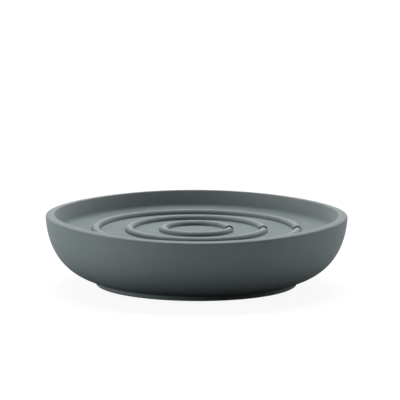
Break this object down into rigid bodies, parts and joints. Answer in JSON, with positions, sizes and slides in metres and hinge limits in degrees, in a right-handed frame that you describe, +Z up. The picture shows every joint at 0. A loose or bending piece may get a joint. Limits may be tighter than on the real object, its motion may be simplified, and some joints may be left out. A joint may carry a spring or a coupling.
{
  "type": "soap dish",
  "caption": "Round hollow soap dish with a bowl-shaped outside, a narrow flat lip, a shallow well, concentric split drain rings and non-slip foot pads.",
  "frame": {"origin": "on the resting plane, under the dish's axis", "axes": "+Z up along the dish's axis, +X through the gaps of the drain rings, -Y towards the picture's viewer"},
  "size_m": [0.12, 0.12, 0.0288],
  "materials": {
    "soft_touch_body": "matt soft-touch lacquer, cool grey-green",
    "soft_touch_rings": "matt soft-touch lacquer, cool grey-green",
    "pad_rubber": "matt dark grey"
  },
  "bodies": {
    "root": {"outer_bowl": "soft_touch_body", "soap_tray": "soft_touch_body", "drain_ring_inner": "soft_touch_rings", "drain_ring_middle": "soft_touch_rings", "drain_ring_outer": "soft_touch_rings", "foot_pad_1": "pad_rubber", "foot_pad_2": "pad_rubber", "foot_pad_3": "pad_rubber", "foot_pad_4": "pad_rubber"}
  },
  "joints": []
}
